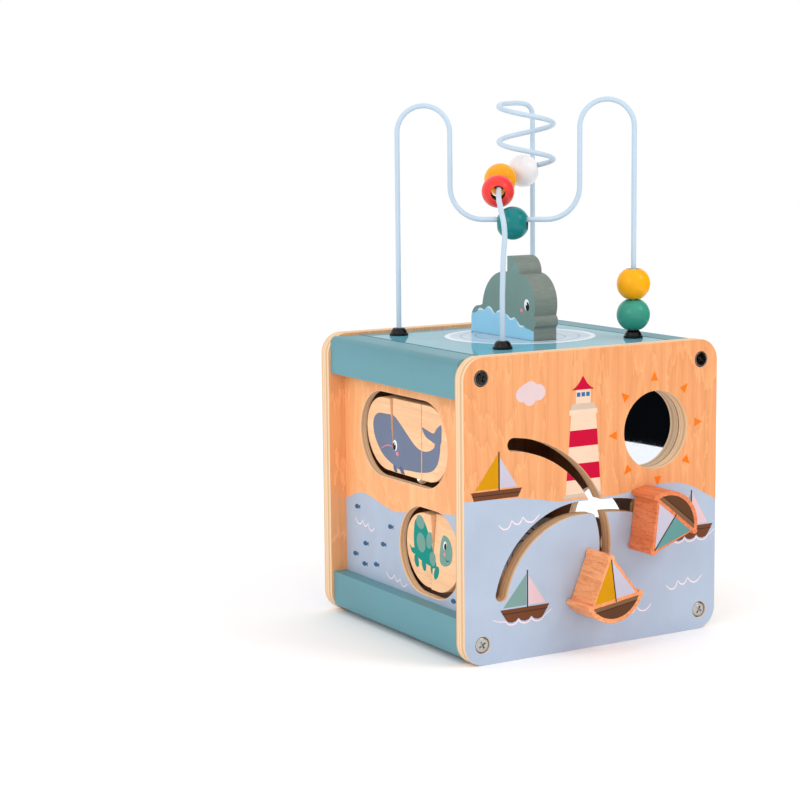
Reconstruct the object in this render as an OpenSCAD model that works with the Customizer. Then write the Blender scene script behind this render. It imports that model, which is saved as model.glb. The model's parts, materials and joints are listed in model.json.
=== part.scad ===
// Wooden activity cube with five play faces: a lighthouse scene with two boats on curved slots,
// turning picture tiles, a shape sorter, an open back, and a bead maze over a whale on top.
// +X is the right-hand side, -Y is the front and +Z is up; the origin is the centre of the base.

/* [Cube] */
// Width of the cube across the front
cube_w = 180; // [176:1:186]
// Depth of the cube from front face to back face
cube_d = 166; // [163:1:172]
// Height of the cube
cube_h = 177; // [176:1:180]
// Thickness of the front and back plywood panels
ply = 9; // [8:0.5:10]
// Corner radius of the front and back panels
corner_r = 13; // [8:1:16]
// How far the rails stand in from the edges of the front and back panels
rail_inset = 1.6; // [1:0.2:3]
// Width of a rail
rail_w = 19; // [16:0.5:20]
// Height of a rail
rail_h = 23; // [20:0.5:24]
// Rounding along the outer edge of a rail
rail_r = 4; // [2:0.5:6]
// How far the side panels stand in from the edges of the front and back panels
side_inset = 11; // [8:0.5:12]
// Thickness of the side panels
side_t = 5; // [4:0.5:6]
// Thickness of the top panel
top_t = 9; // [8:0.5:10]

/* [Fasteners] */
// Distance of the corner screws from the panel edges
screw_in = 12; // [11:0.5:13]
// Diameter of a corner screw head
screw_head_d = 8.6; // [7:0.2:9]
// Diameter of the counterbore round a screw head
screw_seat_d = 9.8; // [9.4:0.2:11]

/* [Boats] */
// Width of the curved slots
slot_w = 8; // [7.6:0.2:9]
// Thickness of a boat
boat_t = 22; // [18:0.5:24]
// Half the length of a boat's hull
hull_half = 19.8; // [18:0.1:21]
// Height of the sail above the hull's top edge
sail_h = 27.4; // [24:0.1:28]
// Diameter of the peg that a boat turns on
peg_d = 5; // [4:0.2:5]

/* [Mirror] */
// Radius of the round window in front of the mirror
mirror_r = 23.4; // [20:0.2:25]
// Middle of the mirror, across and up
mirror_at = [44.5, 125.4];

/* [Tiles] */
// Height of the two windows in the left panel
window_h = 52; // [50:1:54]
// Width of one picture tile with its gap
tile_pitch = 34; // [32:0.5:35]
// Gap between a tile and the window
tile_gap = 3.4; // [2:0.2:4]
// Thickness of a tile
tile_t = 10; // [8:0.5:12]
// Diameter of the tile axles
axle_d = 5; // [4:0.2:6]

/* [Bead maze] */
// Diameter of the steel wire
wire_d = 3.2; // [3:0.1:3.4]
// Radius of the high arches in the arch wire
arch_r = 16.4; // [15:0.2:18]
// Radius of the spiral
coil_r = 17; // [16:0.5:18]
// Rise of the spiral in one turn
coil_pitch = 22; // [20:0.5:24]
// Diameter of a bead
bead_d = 20.4; // [19:0.2:21]
// Diameter of the hole in a bead
bead_bore = 8.8; // [8.4:0.1:9.2]

/* [Hidden] */

$fn = 64;
eps = 0.01;

wood = [0.96, 0.68, 0.45];
birch = [0.98, 0.88, 0.74];
teal_paint = [0.42, 0.63, 0.67];
black = [0.08, 0.08, 0.09];
silver = [0.75, 0.76, 0.78];
wire_blue = [0.78, 0.85, 0.91];

// Planes of the cube
front_y = -cube_d / 2;
back_y = cube_d / 2;
inner_y = front_y + ply;
span_y = cube_d - 2 * ply;
side_x = cube_w / 2 - side_inset;
rail_x = cube_w / 2 - rail_inset;
rail_low_z = 3.5;
rail_high_z = cube_h - rail_inset;
top_z = rail_high_z;
side_low_z = rail_low_z + rail_h - 5;
side_high_z = rail_high_z - rail_h + 5;
board_half = rail_x - rail_w - 0.5;
floor_z = 10.5;

// Curved slots in the front panel: [centre x, centre z, radius, first angle, last angle],
// with angles from +X towards +Z
low_slot = [-42.7, 60.9, 50.4, -34.34, 26.5];
side_slot = [6.2, -27.1, 110.8, 71.05, 92.2];
slots = [
    [-62.3, 54.7, 71.1, 24.5, 85.5],
    [-8.9, 26.6, 57.6, 78, 167],
    low_slot,
    side_slot
];
// Angles at which the two boats rest, just short of the ends of their slots
low_angle = -34;
side_angle = 71.2;
function on_arc(s, a) = [s[0] + s[2] * cos(a), s[1] + s[2] * sin(a)];
low_peg_at = on_arc(low_slot, low_angle);
side_peg_at = on_arc(side_slot, side_angle);
low_tilt = 8;
side_tilt = 141.6;
bush_d = slot_w - 0.6;
boat_gap = 0.6;

// Tile windows: [first y, number of tiles, centre z]
whale_window = [-48, 3, 119.5];
turtle_window = [-60.5, 2, 55.5];
tile_face_x = -side_x + 3.2;
axle_x = tile_face_x + tile_t / 2;
tile_h = window_h - 2 * tile_gap;
axle_clear = 0.08;
block_w = 9;

// Shape sorter blocks: middle along y and z, and how far they stand proud
sort_t = 18;
sort_gap = 0.5;
cloud_at = [-37, 106];
sun_at = [31, 127];
sun_r = 20.5;
rainbow_at = [16.5, 40];
rainbow_r = 32;
rainbow_in = 13;
rainbow_foot = 11;

// Bead maze: feet of the two wires, and where the arch wire turns
foot_a = [-50, 55];
foot_b = [-38.4, -44.4];
foot_c = [59, -41];
foot_d = [48.5, 52.1];
arch_span = norm(foot_c - foot_a);
arch_turn = atan2(foot_c.y - foot_a.y, foot_c.x - foot_a.x);
arch_left_z = 300.2;
arch_right_z = 303;
dip_z = 247.3;
dip_r = 20.2;
wire_low_z = top_z - top_t - 6;
bore_half = sqrt(bead_d * bead_d - bead_bore * bead_bore) / 2;
hang = (bead_bore - wire_d) / 2 - 0.5;
cap_h = 4.8;

// Spiral: view-aligned axes of the coil in plan, and its middle
coil_at = [30, 32];
coil_turn = 57.3;
coil_z = 271.8;
coil_end = 742.5;
function coil_point(a) = [
    coil_at.x + coil_r * cos(coil_turn + 90 - a),
    coil_at.y + coil_r * sin(coil_turn + 90 - a),
    coil_z + coil_pitch * a / 360
];
// Route of the spiral wire before and after its coil
lead_in = [
    [foot_b.x, foot_b.y, 205],
    [-37.9, -44.7, 228],
    [-37.2, -45.2, 240],
    [-37.4, -44.6, 248.5],
    [-37, -41.6, 254.5],
    [-34, -35.4, 258.8],
    [-28.8, -26.6, 260.6],
    [-18, -9.8, 262.2],
    [-6, 8.4, 264.2],
    [6, 26.5, 266.2],
    [11.5, 34.8, 267.7],
    [15.7, 41.2, 270.4]
];
lead_out = [
    [27, 48.9, 317.6],
    [36, 50.4, 317.9],
    [43.5, 51.5, 316.9],
    [47.4, 52, 313.8],
    [foot_d.x, foot_d.y, 309],
    [foot_d.x, foot_d.y, 300],
    [foot_d.x, foot_d.y, 285]
];

// ---------- helpers ----------

// A plate in the XZ plane, from y0 towards +Y
module upright(y0, t) {
    translate([0, y0 + t, 0]) rotate([90, 0, 0]) linear_extrude(t) children();
}

// A plate in the YZ plane, from x0 towards +X; the drawing's x is the part's y
module sideways(x0, t) {
    translate([x0, 0, 0]) rotate([90, 0, 90]) linear_extrude(t) children();
}

module rounded_rect(x0, z0, x1, z1, r) {
    translate([x0 + r, z0]) square([x1 - x0 - 2 * r, z1 - z0]);
    translate([x0, z0 + r]) square([x1 - x0, z1 - z0 - 2 * r]);
    for (x = [x0 + r, x1 - r], z = [z0 + r, z1 - r]) translate([x, z]) circle(r);
}

// A wedge that covers the angles a0 to a1 out to a radius
module wedge(r, a0, a1) {
    n = 8;
    turn = (a1 - a0) / n;
    polygon(concat([[0, 0]], [for (i = [0:n]) 2 * r * [cos(a0 + turn * i), sin(a0 + turn * i)]]));
}

// Round ends are a hair wider than the slot, so that their walls cross instead of only touching
end_ease = 0.02;
module arc_slot(s, w) {
    translate([s[0], s[1]]) {
        intersection() {
            difference() {
                circle(s[2] + w / 2, $fn = 160);
                circle(s[2] - w / 2, $fn = 160);
            }
            wedge(s[2], s[3], s[4]);
        }
        for (a = [s[3], s[4]]) translate(s[2] * [cos(a), sin(a)]) circle(w / 2 + end_ease, $fn = 40);
    }
}

module corner_points() {
    for (x = [-1, 1], z = [screw_in, cube_h - screw_in]) {
        translate([x * (cube_w / 2 - screw_in), z]) children();
    }
}

module plain_panel() {
    rounded_rect(-cube_w / 2, 0, cube_w / 2, cube_h, corner_r);
}

// ---------- the box ----------

module front_panel() {
    color(wood) difference() {
        upright(front_y, ply) difference() {
            plain_panel();
            for (s = slots) arc_slot(s, slot_w);
            translate(mirror_at) circle(mirror_r, $fn = 120);
            corner_points() circle(1.8, $fn = 32);
        }
        upright(front_y - eps, 2.6) corner_points() circle(screw_seat_d / 2);
        upright(inner_y - 1, 1 + eps) translate(mirror_at) circle(28.4, $fn = 120);
        upright(inner_y - 6, 7) mirror_screw_points() circle(1.2, $fn = 24);
    }
}

module back_panel() {
    color(wood) difference() {
        upright(back_y - ply, ply) difference() {
            plain_panel();
            back_openings();
            corner_points() circle(1.8, $fn = 32);
        }
        upright(back_y - 2.6 + eps, 2.6) corner_points() circle(screw_seat_d / 2);
    }
}

// A straight slot between two points
module straight_slot(a, b, w) {
    d = b - a;
    translate(a) rotate(atan2(d.y, d.x)) {
        translate([0, -w / 2]) square([norm(d), w]);
        circle(w / 2, $fn = 40);
        translate([norm(d), 0]) circle(w / 2, $fn = 40);
    }
}

back_hole_at = [52, 122];
zigzag = [[22, 146], [-22, 128], [22, 104], [-22, 80]];
retrieve = [-8, 9, 49, 58];
module back_openings() {
    translate(back_hole_at) circle(20, $fn = 96);
    for (i = [0:2]) straight_slot(zigzag[i], zigzag[i + 1], 9);
    rounded_rect(retrieve[0], retrieve[1], retrieve[2], retrieve[3], 8);
    translate([retrieve[0], retrieve[1]]) square([retrieve[2] - retrieve[0], 14]);
}

// A bar with round ends from x0 to x1, centred on the x axis
module pill(x0, x1, h) {
    translate([x0 + h / 2, -h / 2]) square([x1 - x0 - h, h]);
    for (x = [x0 + h / 2, x1 - h / 2]) translate([x, 0]) circle(h / 2, $fn = 96);
}

module tile_window(w) {
    translate([w[0], w[2]]) pill(0, w[1] * tile_pitch, window_h);
}

module side_sheet() {
    translate([inner_y, side_low_z]) square([span_y, side_high_z - side_low_z]);
}

module left_panel() {
    color(wood) sideways(-side_x, side_t) difference() {
        side_sheet();
        tile_window(whale_window);
        tile_window(turtle_window);
    }
}

module right_panel() {
    color(wood) sideways(side_x - side_t, side_t) difference() {
        side_sheet();
        translate(cloud_at) cloud_outline(sort_gap);
        translate(sun_at) circle(sun_r + sort_gap, $fn = 96);
        translate(rainbow_at) rainbow_outline(sort_gap);
    }
}

module rail_profile() {
    difference() {
        union() {
            translate([rail_x - rail_w, 0]) square([rail_w - rail_r, rail_h]);
            translate([rail_x - rail_w, 0]) square([rail_w, rail_h - rail_r]);
            translate([rail_x - rail_r, rail_h - rail_r]) circle(rail_r, $fn = 48);
        }
        translate([side_x - side_t - 0.15, -1]) square([side_t + 0.3, 6.2]);
        translate([rail_x - rail_w - 1, rail_h - 6.7]) square([5.2, 3.9]);
    }
}

// The rails lie along Y; a groove in each holds the side panel
module top_rail() {
    translate([0, 0, rail_high_z - rail_h]) difference() {
        translate([0, inner_y + span_y, 0]) rotate([90, 0, 0]) linear_extrude(span_y) rail_profile();
        rail_pilots(cube_h - screw_in - rail_high_z + rail_h);
    }
}

module bottom_rail() {
    translate([0, 0, rail_low_z]) difference() {
        translate([0, inner_y + span_y, rail_h]) rotate([90, 0, 0]) mirror([0, 1]) {
            linear_extrude(span_y) rail_profile();
        }
        rail_pilots(screw_in - rail_low_z);
    }
}

module rail_pilots(z) {
    for (y = [inner_y - eps, inner_y + span_y - 24]) {
        translate([cube_w / 2 - screw_in, y, z]) rotate([-90, 0, 0]) {
            cylinder(h = 24 + eps, r = 1.75, $fn = 32);
        }
    }
}

module left_top_rail() {
    color(teal_paint) mirror([1, 0, 0]) top_rail();
}

module left_bottom_rail() {
    color(teal_paint) mirror([1, 0, 0]) bottom_rail();
}

module right_top_rail() {
    color(teal_paint) top_rail();
}

module right_bottom_rail() {
    color(teal_paint) bottom_rail();
}

// A board between the rails; its tongues run in their grooves
tongue = 4;
module board(z, t, half) {
    translate([-half, inner_y + 0.4, z]) cube([2 * half, span_y - 0.8, t]);
}

module top_panel() {
    color([0.5, 0.72, 0.77]) difference() {
        union() {
            board(top_z - top_t, top_t, board_half);
            board(top_z - 6.5, 3.5, board_half + tongue);
        }
        for (p = [foot_a, foot_b, foot_c, foot_d]) {
            translate([p.x, p.y, top_z - top_t - 1]) cylinder(h = top_t + 2, d = wire_d + 0.1, $fn = 32);
        }
        for (y = whale_screw_y) {
            translate([whale_x, y, top_z - top_t - 1]) cylinder(h = top_t + 2, r = 1.8, $fn = 32);
        }
    }
}

module bottom_panel() {
    color(birch) {
        board(0, floor_z, board_half);
        board(6.5, 3.5, board_half + tongue);
    }
}

// ---------- corner screws ----------

// Pan head screw along +Y with its face at y = 0
module panel_screw(len) {
    difference() {
        union() {
            translate([0, 2.4, 0]) rotate([90, 0, 0]) cylinder(h = 1.8, d = screw_head_d);
            translate([0, 0.6 + eps, 0]) rotate([90, 0, 0]) {
                cylinder(h = 0.4, d1 = screw_head_d, d2 = screw_head_d - 1.2);
            }
            translate([0, len, 0]) rotate([90, 0, 0]) cylinder(h = len - 2, r = 1.7, $fn = 32);
        }
        for (a = [0, 90]) rotate([0, a, 0]) translate([-2.4, 0, -0.55]) cube([4.8, 1.6, 1.1]);
    }
}

module panel_screws(y, z, turn) {
    for (x = [-1, 1]) translate([x * (cube_w / 2 - screw_in), y, z]) {
        rotate([0, 0, turn]) rotate([0, 30 * x, 0]) panel_screw(30);
    }
}

module front_top_screws() {
    color(black) panel_screws(front_y, cube_h - screw_in, 0);
}

module front_bottom_screws() {
    color(silver) panel_screws(front_y, screw_in, 0);
}

module back_screws() {
    color(black) for (z = [screw_in, cube_h - screw_in]) panel_screws(back_y, z, 180);
}

// ---------- mirror ----------

mirror_y = inner_y - 0.8;
mirror_t = 2;
backing_half = 32;
backing_t = 5;
backing_screw_head = 1;
// Screws sit nearer the middle on the side of the corner rail
mirror_screw_x = [-27, 21.5];
mirror_screw_z = [-27, 27];

module mirror_screw_points() {
    for (x = mirror_screw_x, z = mirror_screw_z) translate(mirror_at + [x, z]) children();
}

module mirror_disc() {
    color([0.85, 0.87, 0.88]) upright(mirror_y, mirror_t) translate(mirror_at) circle(28, $fn = 120);
}

// The corner is notched to clear the rail
module mirror_backing() {
    color(birch) difference() {
        upright(inner_y, backing_t) difference() {
            translate(mirror_at) rounded_rect(-backing_half, -backing_half, 29, backing_half, 6);
            translate([rail_x - rail_w, rail_high_z - rail_h] - [0.3, 0.3]) square(rail_w);
            mirror_screw_points() circle(1.3, $fn = 24);
        }
        upright(inner_y - eps, mirror_y + mirror_t - inner_y + eps) {
            translate(mirror_at) circle(28.4, $fn = 120);
        }
    }
}

module mirror_backing_screws() {
    color(silver) for (x = mirror_screw_x, z = mirror_screw_z) {
        translate([mirror_at.x + x, 0, mirror_at.y + z]) {
            translate([0, inner_y + backing_t + backing_screw_head, 0]) rotate([90, 0, 0]) {
                cylinder(h = backing_screw_head, r = 2.4, $fn = 32);
            }
            translate([0, inner_y + 5.5, 0]) rotate([90, 0, 0]) cylinder(h = 10.5, r = 1.1, $fn = 24);
        }
    }
}

// ---------- boats ----------

// Boat outline: the hull's top edge is the x axis and the peg is at the origin
module boat_outline() {
    intersection() {
        translate([0, 8]) circle(21.2, $fn = 96);
        translate([-hull_half, -20]) square([2 * hull_half, 20]);
    }
    polygon([[-17.2, -1], [17.2, -1], [2.1, sail_h - 3.1], [-2.1, sail_h - 3.1]]);
    translate([0, sail_h - 2.4]) circle(2.4, $fn = 32);
    for (x = [-1, 1]) translate([x * (hull_half - 1.8), -0.6]) circle(1.8, $fn = 32);
}

module boat(at, tilt) {
    difference() {
        upright(front_y - boat_gap - boat_t, boat_t) translate(at) rotate(tilt) boat_outline();
        upright(front_y - boat_gap - 14, 15) translate(at) circle(peg_d / 2 + 0.02, $fn = 40);
    }
}

// Peg glued into the boat, with a head that keeps it in its bush
module boat_peg(at) {
    peg_y = front_y - boat_gap - 13.8;
    upright(peg_y, inner_y + 3.4 - peg_y) translate(at) circle(peg_d / 2, $fn = 40);
    upright(inner_y + 2.7, 2.5) translate(at) circle(5, $fn = 40);
}

// Sleeve that slides along the slot
module boat_bush(at) {
    upright(front_y - boat_gap + 0.2, ply + boat_gap) translate(at) difference() {
        circle(bush_d / 2, $fn = 40);
        circle(peg_d / 2 + 0.07, $fn = 40);
    }
}

module boat_washer(at) {
    upright(inner_y + 0.4, 2) translate(at) difference() {
        circle(8, $fn = 48);
        circle(peg_d / 2 + 0.07, $fn = 40);
    }
}

module low_boat() {
    color([0.93, 0.62, 0.38]) boat(low_peg_at, low_tilt);
}

module low_boat_peg() {
    color(birch) boat_peg(low_peg_at);
}

module low_boat_bush() {
    color(birch) boat_bush(low_peg_at);
}

module low_boat_washer() {
    color(birch) boat_washer(low_peg_at);
}

module side_boat() {
    color([0.93, 0.62, 0.38]) boat(side_peg_at, side_tilt);
}

module side_boat_peg() {
    color(birch) boat_peg(side_peg_at);
}

module side_boat_bush() {
    color(birch) boat_bush(side_peg_at);
}

module side_boat_washer() {
    color(birch) boat_washer(side_peg_at);
}

// ---------- turning tiles ----------

module axle(w) {
    translate([axle_x, w[0] - 8, w[2]]) rotate([-90, 0, 0]) {
        cylinder(h = w[1] * tile_pitch + 16, d = axle_d, $fn = 48);
    }
}

// Two bearer blocks on the inner face of the left panel
module axle_blocks(w) {
    for (y = [w[0] - 2 - block_w, w[0] + w[1] * tile_pitch + 2]) {
        difference() {
            translate([-side_x + side_t, y, w[2] - 10]) cube([12, block_w, 20]);
            translate([axle_x, y - 1, w[2]]) rotate([-90, 0, 0]) {
                cylinder(h = block_w + 2, d = axle_d + 0.04, $fn = 48);
            }
        }
    }
}

// Tile number i of a window, turned by tilt about its axle
module tile(w, i, tilt) {
    len = w[1] * tile_pitch;
    translate([axle_x, 0, w[2]]) rotate([0, tilt, 0]) difference() {
        translate([-tile_t / 2, 0, 0]) rotate([90, 0, 90]) linear_extrude(tile_t) intersection() {
            translate([w[0], 0]) pill(tile_gap, len - tile_gap, tile_h);
            translate([w[0] + i * tile_pitch + 0.4, -window_h]) square([tile_pitch - 0.8, 2 * window_h]);
        }
        translate([0, w[0] - 1, 0]) rotate([-90, 0, 0]) {
            cylinder(h = len + 2, d = axle_d + 2 * axle_clear, $fn = 48);
        }
    }
}

module whale_axle() {
    color(silver) axle(whale_window);
}

module whale_axle_blocks() {
    color(birch) axle_blocks(whale_window);
}

module whale_tile_front() {
    color(birch) tile(whale_window, 0, 0);
}

module whale_tile_middle() {
    color(birch) tile(whale_window, 1, 0);
}

module whale_tile_back() {
    color(birch) tile(whale_window, 2, -4);
}

module turtle_axle() {
    color(silver) axle(turtle_window);
}

module turtle_axle_blocks() {
    color(birch) axle_blocks(turtle_window);
}

module turtle_tile_front() {
    color(birch) tile(turtle_window, 0, 5);
}

module turtle_tile_back() {
    color(birch) tile(turtle_window, 1, -3.5);
}

// ---------- whale on the top ----------

whale_x = 7.3;
whale_t = 16.5;
whale_screw_y = [-6, 32];
// Side view: back, head, blow, tail end, snout and base, with grooves over and under the snout
module whale_outline() {
    difference() {
        union() {
            intersection() {
                union() {
                    translate([10.5, 15]) circle(25, $fn = 120);
                    translate([-4.5, 21.5]) circle(18.4, $fn = 120);
                }
                translate([-30, 6]) square([80, 50]);
            }
            whale_blow();
            translate([-21.8, 0]) square([70, 8]);
            translate([39.6, 8.6]) circle(8.6, $fn = 64);
            translate([34.6, 12]) circle(6.2, $fn = 48);
            translate([-18.7, 11]) circle(5, $fn = 48);
        }
        translate([-25.2, 15.6]) circle(2.4, $fn = 32);
        translate([-24, 6.6]) circle(2.4, $fn = 32);
    }
}

// The hump over the head: rounded in front, upright behind
module whale_blow() {
    intersection() {
        translate([3.5, 40.3]) circle(9.6, $fn = 72);
        translate([-7, 30]) square([10.6, 20]);
    }
    translate([3.5, 30]) square([3.5, 19.9]);
}

module whale_block() {
    color([0.44, 0.57, 0.57]) difference() {
        sideways(whale_x - whale_t / 2, whale_t) translate([0, top_z]) whale_outline();
        for (y = whale_screw_y) translate([whale_x, y, top_z - 1]) cylinder(h = 19, r = 1.75, $fn = 32);
    }
}

module whale_block_screws() {
    color(silver) for (y = whale_screw_y) translate([whale_x, y, 0]) {
        translate([0, 0, top_z - top_t - 2.2]) cylinder(h = 2.2, r = 4, $fn = 40);
        translate([0, 0, top_z - top_t - 0.5]) cylinder(h = 26, r = 1.7, $fn = 32);
    }
}

// ---------- bead maze ----------

module wire_leg(s, z0, z1) {
    translate([s, 0, z0]) cylinder(h = z1 - z0, d = wire_d, $fn = 32);
}

// Quarter or half bend in the XZ plane round (s, z), starting at angle a
module wire_bend(s, z, r, a, sweep) {
    translate([s, 0, z]) rotate([90, 0, 0]) rotate(a) rotate_extrude(angle = sweep, $fn = 96) {
        translate([r, 0]) circle(d = wire_d, $fn = 32);
    }
}

module arch_wire() {
    left_down = 2 * arch_r;
    right_up = arch_span - 2 * arch_r;
    color(wire_blue) translate([foot_a.x, foot_a.y, 0]) rotate(arch_turn) {
        wire_leg(0, wire_low_z, arch_left_z);
        wire_bend(arch_r, arch_left_z, arch_r, 0, 180);
        wire_leg(left_down, dip_z + dip_r, arch_left_z);
        wire_bend(left_down + dip_r, dip_z + dip_r, dip_r, 180, 90);
        translate([left_down + dip_r, 0, dip_z]) rotate([0, 90, 0]) {
            cylinder(h = right_up - left_down - 2 * dip_r, d = wire_d, $fn = 32);
        }
        wire_bend(right_up - dip_r, dip_z + dip_r, dip_r, 270, 90);
        wire_leg(right_up, dip_z + dip_r, arch_right_z);
        wire_bend(arch_span - arch_r, arch_right_z, arch_r, 0, 180);
        wire_leg(arch_span, wire_low_z, arch_right_z);
    }
}

// Smooth curve through a list of points
function curve_at(p, i, t) =
    let (
        a = p[max(i - 1, 0)],
        b = p[i],
        c = p[i + 1],
        d = p[min(i + 2, len(p) - 1)],
        m = (c - a) / 2,
        n = (d - b) / 2
    )
    (2 * t * t * t - 3 * t * t + 1) * b + (t * t * t - 2 * t * t + t) * m
        + (3 * t * t - 2 * t * t * t) * c + (t * t * t - t * t) * n;

coil_step = 22.5;
route = concat(lead_in, [for (a = [coil_step:coil_step:coil_end]) coil_point(a)], lead_out);
first_coil = len(lead_in);
last_coil = len(route) - len(lead_out) - 1;
fine = [
    for (i = [1:len(route) - 2], t = [0, 0.5])
        if (i < first_coil || i > last_coil || t == 0) curve_at(route, i, t)
];

// Frame carried along a path so that a tube doesn't twist
function unit(v) = v / norm(v);
function tangent(p, i) = unit(p[min(i + 1, len(p) - 1)] - p[max(i - 1, 0)]);
function carried(p, i, n) = let (t = tangent(p, i)) unit(n - (n * t) * t);
function frames(p, i = 0, n = [1, 0, 0]) =
    let (m = carried(p, i, n)) i == len(p) - 1 ? [m] : concat([m], frames(p, i + 1, m));

module tube(p, d, sides) {
    n = frames(p);
    rings = [
        for (i = [0:len(p) - 1])
            let (b = cross(tangent(p, i), n[i]))
            for (k = [0:sides - 1]) p[i] + d / 2 * (cos(360 * k / sides) * n[i] + sin(360 * k / sides) * b)
    ];
    walls = [
        for (i = [0:len(p) - 2], k = [0:sides - 1])
            let (a = i * sides + k, b = i * sides + (k + 1) % sides)
            each [[a, b + sides, b], [a, a + sides, b + sides]]
    ];
    last = (len(p) - 1) * sides;
    ends = [
        [for (k = [0:sides - 1]) k],
        [for (k = [sides - 1:-1:0]) last + k]
    ];
    polyhedron(rings, concat(walls, ends), convexity = 8);
}

module spiral_wire() {
    path = concat([[foot_b.x, foot_b.y, wire_low_z], lead_in[0]], fine, [[foot_d.x, foot_d.y, wire_low_z]]);
    color(wire_blue) tube(path, wire_d, 14);
}

module wire_caps() {
    color(black) for (p = [foot_a, foot_b, foot_c, foot_d]) translate([p.x, p.y, top_z]) difference() {
        rotate_extrude($fn = 64) {
            square([5.9, 1.6]);
            polygon([[0, 1.6], [5.5, 1.6], [4.6, 3.6], [3.4, cap_h], [0, cap_h]]);
        }
        translate([0, 0, -1]) cylinder(h = cap_h + 2, d = wire_d + 0.1, $fn = 32);
    }
}

module wire_nuts() {
    color(silver) for (p = [foot_a, foot_b, foot_c, foot_d]) {
        translate([p.x, p.y, top_z - top_t - 3.4]) difference() {
            union() {
                cylinder(h = 2.6, d = 7, $fn = 6);
                translate([0, 0, 2.6]) cylinder(h = 0.8, d = 9, $fn = 40);
            }
            translate([0, 0, -1]) cylinder(h = 6, d = wire_d + 0.1, $fn = 32);
        }
    }
}

// A bead round the z axis, centred on the origin
module bead() {
    difference() {
        sphere(d = bead_d, $fn = 64);
        cylinder(h = bead_d + 2, d = bead_bore, center = true, $fn = 48);
    }
}

// A bead at a point with its hole along a direction
module bead_along(p, dir) {
    u = unit(dir);
    translate(p) rotate([0, acos(u.z), atan2(u.y, u.x)]) bead();
}

green_z = top_z + cap_h + bore_half + 0.2;
module green_bead() {
    color([0.24, 0.6, 0.51]) translate([foot_c.x, foot_c.y, green_z]) bead();
}

module amber_bead() {
    color([1, 0.73, 0]) translate([foot_c.x, foot_c.y, green_z + 2 * bore_half + 0.4]) bead();
}

arch_dir = unit([foot_c.x - foot_a.x, foot_c.y - foot_a.y, 0]);
teal_s = 71.5;
module teal_bead() {
    color([0.06, 0.47, 0.47]) bead_along([foot_a.x, foot_a.y, dip_z - hang] + teal_s * arch_dir, arch_dir);
}

red_dir = [0.54, 0.836, 0.096];
red_at = [4.6, 25.5, 263.85];
module red_bead() {
    color([0.92, 0.28, 0.28]) bead_along(red_at, red_dir);
}

// Beads on the coil: the angle along it, and the way in to the inside of the bend
module coil_bead(a, inward, drop) {
    p = coil_point(a);
    q = [p.x, p.y] + inward * unit(coil_at - [p.x, p.y]);
    bead_along([q.x, q.y, p.z - drop], coil_point(a + 1) - coil_point(a - 1));
}

module orange_bead() {
    color([1, 0.66, 0.2]) coil_bead(4, 0.8, 1.6);
}

module white_bead() {
    color([0.94, 0.92, 0.92]) coil_bead(84, 0.9, 1.6);
}

// ---------- shape sorter blocks ----------

module cloud_outline(g) {
    for (x = [-17, 16.5]) translate([x, -5]) circle(13.5 + g, $fn = 72);
    translate([-3, 7]) circle(14.5 + g, $fn = 72);
    translate([-17, -18.5 - g]) square([33.5, 20]);
}

// An arch that stands on two cloudy feet
module rainbow_outline(g) {
    difference() {
        intersection() {
            circle(rainbow_r + g, $fn = 120);
            translate([-40, 0]) square([80, 40]);
        }
        circle(rainbow_in - g, $fn = 64);
    }
    for (x = [-1, 1]) {
        translate([x * (rainbow_r - 9), 9 - rainbow_foot]) circle(9 + g, $fn = 64);
        translate([x * 12.6, 8 - rainbow_foot]) circle(8 + g, $fn = 64);
    }
}

module cloud_block() {
    color([0.13, 0.5, 0.52]) sideways(side_x - 7, sort_t) translate(cloud_at) cloud_outline(0);
}

module sun_block() {
    color([0.96, 0.5, 0.13]) sideways(side_x - 7, sort_t) translate(sun_at) circle(sun_r, $fn = 96);
}

// The rainbow block has been posted and stands on the bottom board by the retrieving hole
rainbow_rest = [27, 26];
module rainbow_block() {
    color([0.94, 0.93, 0.92]) sideways(rainbow_rest.x, sort_t) {
        translate([rainbow_rest.y, floor_z + 0.1 + rainbow_foot]) rainbow_outline(0);
    }
}

front_panel();
back_panel();
left_panel();
right_panel();
top_panel();
bottom_panel();
left_top_rail();
left_bottom_rail();
right_top_rail();
right_bottom_rail();
front_top_screws();
front_bottom_screws();
back_screws();
mirror_disc();
mirror_backing();
mirror_backing_screws();
low_boat();
low_boat_peg();
low_boat_bush();
low_boat_washer();
side_boat();
side_boat_peg();
side_boat_bush();
side_boat_washer();
whale_axle();
whale_axle_blocks();
whale_tile_front();
whale_tile_middle();
whale_tile_back();
turtle_axle();
turtle_axle_blocks();
turtle_tile_front();
turtle_tile_back();
whale_block();
whale_block_screws();
arch_wire();
spiral_wire();
wire_caps();
wire_nuts();
green_bead();
amber_bead();
teal_bead();
red_bead();
orange_bead();
white_bead();
cloud_block();
sun_block();
rainbow_block();
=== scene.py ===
"""Wooden activity cube: finished surfaces, prints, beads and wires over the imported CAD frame.

Outlines are in millimetres on the face that they belong to; everything in Blender is in metres.
"""
import json
import math

import bmesh
import bpy
from mathutils import Matrix, Vector
from mathutils.geometry import delaunay_2d_cdt


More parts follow.
